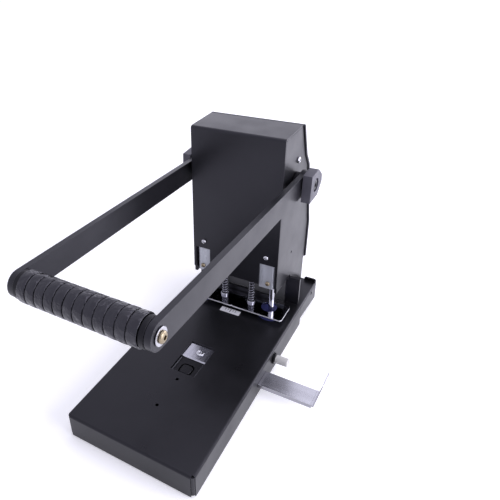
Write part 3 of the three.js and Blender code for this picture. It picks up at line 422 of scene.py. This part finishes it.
SOCKET = 0.42           # the socket's corner radius over the head's radius
SCREWS = {
    # head radius and height, shank radius and length, material
    "grip": (4.4, 2.2, 2.5, 14.0, "brass"),
    "hub": (6.0, 1.8, 2.5, 5.2, "black_screw"),
    "side": (3.2, 1.9, 1.5, 7.0, "bright_steel"),
    "cover": (2.6, 1.9, 1.5, 1.8, "bright_steel"),
    "bracket": (2.6, 1.9, 1.5, 5.5, "brass"),
    "window": (4.2, 1.2, 1.6, 3.0, "bright_steel"),
}
GRIP_SEAT, HUB_SEAT, SIDE_SEAT = 61.3, 67.5, 49.05     # X of the undersides of the heads
COVER_SEAT, BRACKET_SEAT = -12.6, -10.5                # Y of them
WINDOW_SEAT = 25.8                                     # Z of it
LOCK_WASHER = (66.3, 67.5, 6.0, 2.2)                   # start and end in X, outer and inner radius
GRIP_WASHER = (6.6, 2.7)                               # outer and inner radius


def screw(node, kind, axis, seat):
    """A domed screw with a hexagon socket; seat is where its head's underside is on its axis."""
    head, height, shank, length, key = SCREWS[kind]
    place = middle(node)
    place["xyz".index(axis[-1])] = seat
    socket = head * SOCKET
    bottom = height * 0.3
    profile = [
        (-length, 0), (-length, shank * 0.8), (-length + shank * 0.3, shank), (-0.15, shank),
        (0, shank), (0, head - 0.15), (0.15, head), (height * 0.38, head),
        (height * 0.55, head * 0.96), (height * 0.74, head * 0.86), (height * 0.9, head * 0.7),
        (height, head * 0.52), (height, socket * 1.04), (height - 0.12, hexagon(socket)),
        (bottom, hexagon(socket)), (bottom - 0.1, socket * 0.5), (bottom - 0.1, 0),
    ]
    attach(turned(node + "_turned", profile, axis, place, 48, 42), node, key)


def washer(node, start, end, outer, inner, key):
    """A flat ring across X, from start to end."""
    c = middle(node)
    edge = min(0.2, (end - start) / 4)
    profile = [(start, inner), (start, outer - edge), (start + edge, outer), (end - edge, outer),
               (end, outer - edge), (end, inner)]
    ring = turned(node + "_turned", profile, "x", (0, c.y, c.z), 64, 50, closed=True)
    attach(ring, node, key)


# Grip

GRIP_RADIUS = 12.3
GRIP_HALF = 49.9
GRIP_RIBS = 12
GROOVE_WIDTH = 1.0
GROOVE_DEPTH = 0.95
GRIP_BORE = 7.3
SHOULDER = (
    # inward from a rib's end, and down from its top
    (0, GROOVE_DEPTH), (0.04, 0.5), (0.25, 0.22), (0.7, 0.1),
)


def grip():
    """Crowned ribs with rounded shoulders and narrow grooves between them."""
    rib = (2 * GRIP_HALF - (GRIP_RIBS - 1) * GROOVE_WIDTH) / GRIP_RIBS
    crown = ((rib * 0.3, 0.02), (rib * 0.5, 0), (rib * 0.7, 0.02))
    profile = [(-GRIP_HALF, GRIP_BORE)]
    for i in range(GRIP_RIBS):
        x = -GRIP_HALF + i * (rib + GROOVE_WIDTH)
        falling = tuple((rib - inward, down) for inward, down in reversed(SHOULDER))
        profile += [(x + inward, GRIP_RADIUS - down) for inward, down in SHOULDER + crown + falling]
    profile.append((GRIP_HALF, GRIP_BORE))
    c = middle("grip_sleeve")
    sleeve = turned("grip_sleeve_ribbed", profile, "x", (0, c.y, c.z), 72, 60, closed=True)
    attach(sleeve, "grip_sleeve", "rubber_grip")


# Springs, posts, discs and knob

POST_X = 16.2
PIN_X = 40


def spring(side, node):
    """One wire with a closed turn at each end."""
    turns, steps, sides = 10, 26, 10
    wire, coil = 0.5, 2.9
    foot, head = 36.2 + wire, 66.8 - wire
    dead = 1.2
    pitch = (head - foot - 2 * dead) / (turns - 2)

    def height(turn):
        if turn < 1:
            return foot + dead * turn
        if turn > turns - 1:
            return head - dead * (turns - turn)
        return foot + dead + pitch * (turn - 1)

    bm = bmesh.new()
    loops = []
    for i in range(turns * steps + 1):
        turn = i / steps
        angle = 2 * math.pi * turn
        out = Vector((math.cos(angle), math.sin(angle), 0))
        centre = Vector((side * POST_X, 0, height(turn))) + out * coil
        loop = []
        for k in range(sides):
            b = 2 * math.pi * k / sides
            point = centre + out * (wire * math.cos(b)) + Vector((0, 0, wire * math.sin(b)))
            loop.append(bm.verts.new(point * MM))
        loops.append(loop)
    for low, high in zip(loops, loops[1:]):
        for k in range(sides):
            m = (k + 1) % sides
            bm.faces.new((low[k], low[m], high[m], high[k]))
    bm.faces.new(loops[0])
    bm.faces.new(loops[-1])
    attach(finish_mesh(bm, node + "_wire", 60), node, "spring_steel")


def post(side, node):
    """A rod with chamfered ends, and a collar with a fine groove round it."""
    low, collar_low, collar_high, top = 32.0, 33.5, 35.9, 105.9
    r, collar_r = 1.8, 4.6
    groove = collar_low + 1.15
    rod = [(low, 0), (low, r - 0.4), (low + 0.4, r), (top - 0.6, r), (top, r - 0.6), (top, 0)]
    collar = [
        (collar_low, r), (collar_low, collar_r - 0.3), (collar_low + 0.3, collar_r),
        (groove - 0.15, collar_r), (groove, collar_r - 0.25), (groove + 0.15, collar_r),
        (collar_high - 0.3, collar_r), (collar_high, collar_r - 0.35), (collar_high, r + 0.4),
        (collar_high - 0.2, r),
    ]
    place = (side * POST_X, 0, 0)
    attach(turned(node + "_rod", rod, "z", place, 40, 40), node, "dark_steel")
    attach(turned(node + "_collar", collar, "z", place, 40, 40, closed=True), node, "bright_steel")


def disc(side, node):
    """A disc with a fine groove and a shallow mark round the place where the pin lands."""
    low, top, r = 24.0, 27.2, 15.0
    groove_out, groove_in, groove_depth = 5.9, 4.9, 0.4
    mark, mark_depth = 3.4, 0.15
    profile = [
        (low, 0), (low, r - 0.3), (low + 0.3, r), (top - 0.5, r), (top - 0.12, r - 0.12),
        (top, r - 0.5), (top, groove_out), (top - 0.1, groove_out - 0.1),
        (top - groove_depth, groove_out - 0.2), (top - groove_depth, groove_in + 0.2),
        (top - 0.1, groove_in + 0.1), (top, groove_in), (top, mark),
        (top - mark_depth, mark - mark_depth), (top - mark_depth, 0),
    ]
    attach(turned(node + "_moulded", profile, "z", (side * PIN_X, 0, 0), 72, 40), node,
           "disc_plastic")


def knob():
    """The ribbed lock knob with its threaded end."""
    c = middle("lock_knob")
    tip, body, end = 57, 67.8, 81
    thread = 2
    rib = ribbed(4.4, 0.34, 18)
    profile = [
        (tip, 0), (tip, thread - 0.4), (tip + 0.4, thread), (body, thread), (body, 3.7),
        (body + 0.3, 4.05), (body + 0.7, rib), (end - 1, rib), (end - 0.4, 4.0),
        (end - 0.05, 3.5), (end, 3.1), (end, 2.5), (end - 0.2, 2.3), (end - 0.3, 0),
    ]
    attach(turned("lock_knob_ribbed", profile, "x", (0, c.y, c.z), 144, 45), "lock_knob",
           "white_plastic")


# Thin trim

BASE_SIDE, BASE_FRONT = 66, -222


def bar(bm, x0, x1, y0, y1, z0, z1):
    """A block between two places on each axis."""
    corners = [(x0, y0), (x1, y0), (x1, y1), (x0, y1)]
    bottom = [bm.verts.new((x * MM, y * MM, z0 * MM)) for x, y in corners]
    top = [bm.verts.new((x * MM, y * MM, z1 * MM)) for x, y in corners]
    bm.faces.new(bottom)
    bm.faces.new(top)
    for i in range(4):
        j = (i + 1) % 4
        bm.faces.new((bottom[i], bottom[j], top[j], top[i]))


def mark_lines():
    """Plain graduation lines on the centre mark: place, half width and share of the mark."""
    lines = ((0, 0.4, 0.84), (-3, 0.25, 0.5), (3, 0.25, 0.5), (-6, 0.25, 0.7), (6, 0.25, 0.7))
    border, sunk, proud = 0.6, 0.02, 0.04
    low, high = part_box("centre_mark")
    front, back, top = low.y / MM, high.y / MM, high.z / MM
    bm = bmesh.new()
    for x, half, share in lines:
        length = (back - front - 2 * border) * share
        bar(bm, x - half, x + half, back - border - length, back - border, top - sunk, top + proud)
    attach(finish_mesh(bm, "centre_mark_lines", 30), "centre_mark", "mark_ink",
           replaces=False)


def pocket_ridges():
    """The rounded tops of the two low ridges beside the button."""
    ridge_x, half = 12.6, 0.75
    front, back, low, high = -125.5, -106.2, 24.2, 25.6
    for side, word in SIDES:
        x = side * ridge_x
        bm = bmesh.new()
        bar(bm, x - half, x + half, front, back, low, high)
        top = [e for e in bm.edges if all(v.co.z > (high - 0.1) * MM for v in e.verts)]
        round_edges(bm, top, 0.6, 3)
        attach(finish_mesh(bm, "pocket_ridge_" + word, 50), "button_pocket", "ridge_plastic",
               replaces=False)


def corner_tabs():
    """The folded tabs that close the front corners of the base from inside."""
    radius, inset, low, high = 2.3, 2.9, 3.6, 25.4
    profile = [(low, 0), (low, radius), (high, radius), (high, 0)]
    for side, word in SIDES:
        place = (side * (BASE_SIDE - inset), BASE_FRONT + inset, 0)
        attach(turned("corner_tab_" + word, profile, "z", place, 40, 50), "base_cover",
               "base_paint", replaces=False)


# Shells: the rounding, then the material where it isn't the node's own, and a slot name.

SHELLS = {
    "base_cover": (0.3,), "rear_base_cover": (0.3,), "bottom_plate": (0.3,),
    "frame_plate": (0.3,), "paper_stop": (0.5,), "front_cover": (0.4,),
    "side_plate_right": (0.35,), "side_plate_left": (0.35,), "lever_arm_right": (0.7,),
    "lever_arm_left": (0.7,), "arm_hub_right": (0.7, "hub_casting"),
    "arm_hub_left": (0.7, "hub_casting"), "base_mat": (0.4,), "rear_foot_right": (0.8,),
    "rear_foot_left": (0.8,), "grip_rod": (0.5,), "button_pocket": (0.25,),
    "release_button": (1.0,), "window_plate": (0.3, "satin_steel"), "punch_pin_right": (0.12,),
    "punch_pin_left": (0.12,), "carriage": (0.5,), "pin_bracket_right": (0.25,),
    "pin_bracket_left": (0.25,), "centre_mark": (0.15, "mark_white"), "lever_axle": (0.3,),
    "disc_support": (0.3,), "guide_rail": (0.3,),
    # The axle bushes are black plastic, and their dark colour also paints the shade between the
    # tower and the arms at the pivot.
    "axle_bush_right": (0.3, "black_plastic", "black_plastic"),
    "axle_bush_left": (0.3, "black_plastic", "black_plastic"), "post_clip_right": (0.25,),
    "post_clip_left": (0.25,), "tie_rod_upper": (0.3,), "tie_rod_lower": (0.3,),
    "crank_pin": (0.3,),
}
for node, look in SHELLS.items():
    soften(node, *look)
soften("rear_cover", 1.1, segments=3, proud=1.6)
# The guide arm's lip front gets painted shade, and the bend above it a painted highlight.
repaint(soften("guide_arm", 0.8, "brushed_steel"), ("lip_painted_shade_steel", "cut_edge_and_highlight_steel"), arm_painted_shade_and_highlight)
repaint(soften("press_plate", 0.6, segments=3), ("cut_edge_and_highlight_steel",), plate_finish)

grip()
knob()
mark_lines()
pocket_ridges()
corner_tabs()
washer("lock_washer", *LOCK_WASHER, "black_plastic")
for side, word in SIDES:
    out = "x" if side > 0 else "-x"
    spring(side, "return_spring_" + word)
    post(side, "guide_post_" + word)
    disc(side, "punch_disc_" + word)
    screw("grip_screw_" + word, "grip", out, side * GRIP_SEAT)
    screw("hub_screw_" + word, "hub", out, side * HUB_SEAT)
    screw("side_screw_" + word, "side", out, side * SIDE_SEAT)
    low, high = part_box("grip_washer_" + word)
    washer("grip_washer_" + word, low.x / MM, high.x / MM, *GRIP_WASHER, "bright_steel")
    screw("cover_screw_" + word, "cover", "-y", COVER_SEAT)
    screw("bracket_screw_" + word, "bracket", "-y", BRACKET_SEAT)
screw("window_screw", "window", "z", WINDOW_SEAT)


# Floor, light and camera, in metres and watts

WORLD_LIGHT = 0.6
COOL = (0.87, 0.86, 1.0)
LAMP = (0.93, 0.92, 1.0)
FLOOR_SIZE = 30
FLOOR_COLOUR = (0.91, 0.91, 0.93, 1)
FLOOR_GLOW_COLOUR = (0.96, 0.955, 1, 1)
FLOOR_NEAR, FLOOR_FAR = 0.5, 2.5
GLOW_NEAR, GLOW_FAR = 0.34, 0.55        # the floor's glow at those distances
SOFTBOXES = (
    # name, place, where it points, width and height, power
    ("right_softbox", (1.3, -0.1, 0.6), (0, 0, 0.08), (1.0, 1.0), 17),
    ("top_softbox", (0.1, 0.2, 1.6), (0, 0, 0), (1.2, 1.2), 6),
    ("back_softbox", (-1.0, 2.3, 0.95), (0, 0, 0.2), (1.6, 0.8), 4),
    ("right_back_softbox", (0.8, 1.1, 0.4), (0.05, 0.0, 0.12), (1.0, 0.6), 10),
)
CAMERA_PLACE = (0.20137, -0.44557, 0.40771)
CAMERA_TURN = (58.8326, 2.9019, 31.7039)
CAMERA_LENS = 38.352
CAMERA_SHIFT = (0.1676, -0.0219)


def ray_mask(nodes, links):
    """1 for the rays that show the background: camera, glossy and transmission rays."""
    path = nodes.new("ShaderNodeLightPath")
    total = path.outputs["Is Camera Ray"]
    for ray in ("Is Glossy Ray", "Is Transmission Ray"):
        add = nodes.new("ShaderNodeMath")
        add.operation = "ADD"
        add.use_clamp = True
        links.new(total, add.inputs[0])
        links.new(path.outputs[ray], add.inputs[1])
        total = add.outputs[0]
    return total


def floor_material():
    """A pale floor that the background's rays see brighter, the more so the farther it is."""
    material = bpy.data.materials.new("pale_floor")
    material.use_nodes = True
    nodes, links = material.node_tree.nodes, material.node_tree.links
    main = nodes["Principled BSDF"]
    main.inputs["Base Color"].default_value = FLOOR_COLOUR
    main.inputs["Roughness"].default_value = 0.7
    main.inputs["Specular IOR Level"].default_value = 0.2
    main.inputs["Emission Color"].default_value = FLOOR_GLOW_COLOUR
    place = nodes.new("ShaderNodeTexCoord")
    far = nodes.new("ShaderNodeVectorMath")
    far.operation = "LENGTH"
    links.new(place.outputs["Object"], far.inputs[0])
    glow = nodes.new("ShaderNodeMath")
    glow.operation = "MULTIPLY"
    links.new(map_range(nodes, links, far.outputs["Value"], GLOW_NEAR, GLOW_FAR,
                        FLOOR_NEAR, FLOOR_FAR), glow.inputs[0])
    links.new(ray_mask(nodes, links), glow.inputs[1])
    links.new(glow.outputs[0], main.inputs["Emission Strength"])
    return material


def floor():
    bpy.ops.mesh.primitive_plane_add(size=FLOOR_SIZE, location=(0, 0, 0))
    obj = bpy.context.object
    obj.name = "floor"
    obj.data.materials.append(floor_material())


def world():
    """White where the camera sees it, cool in reflections, and dimmer where it only lights."""
    studio = bpy.data.worlds.new("studio")
    bpy.context.scene.world = studio
    studio.use_nodes = True
    nodes, links = studio.node_tree.nodes, studio.node_tree.links
    back = nodes["Background"]
    seen = nodes.new("ShaderNodeMix")
    seen.data_type = "RGBA"
    seen.inputs[6].default_value = (*COOL, 1)
    seen.inputs[7].default_value = (1, 1, 1, 1)
    links.new(nodes.new("ShaderNodeLightPath").outputs["Is Camera Ray"], seen.inputs[0])
    links.new(seen.outputs[2], back.inputs["Color"])
    links.new(map_range(nodes, links, ray_mask(nodes, links), WORLD_LIGHT, 1.0),
              back.inputs["Strength"])


def softbox(name, place, target, size, power):
    data = bpy.data.lights.new(name, "AREA")
    data.shape = "RECTANGLE"
    data.size, data.size_y = size
    data.energy = power
    data.color = LAMP
    obj = bpy.data.objects.new(name, data)
    obj.location = place
    obj.rotation_euler = (Vector(target) - Vector(place)).to_track_quat("-Z", "Y").to_euler()
    bpy.context.scene.collection.objects.link(obj)


def camera():
    data = bpy.data.cameras.new("camera")
    data.sensor_width = 36
    data.lens = CAMERA_LENS
    data.shift_x, data.shift_y = CAMERA_SHIFT
    data.clip_start = 0.01
    obj = bpy.data.objects.new("camera", data)
    obj.location = CAMERA_PLACE
    obj.rotation_euler = Euler([math.radians(a) for a in CAMERA_TURN], "XYZ")
    bpy.context.scene.collection.objects.link(obj)
    bpy.context.scene.camera = obj


floor()
world()
for box in SOFTBOXES:
    softbox(*box)
camera()

bpy.context.scene.view_settings.view_transform = "Standard"
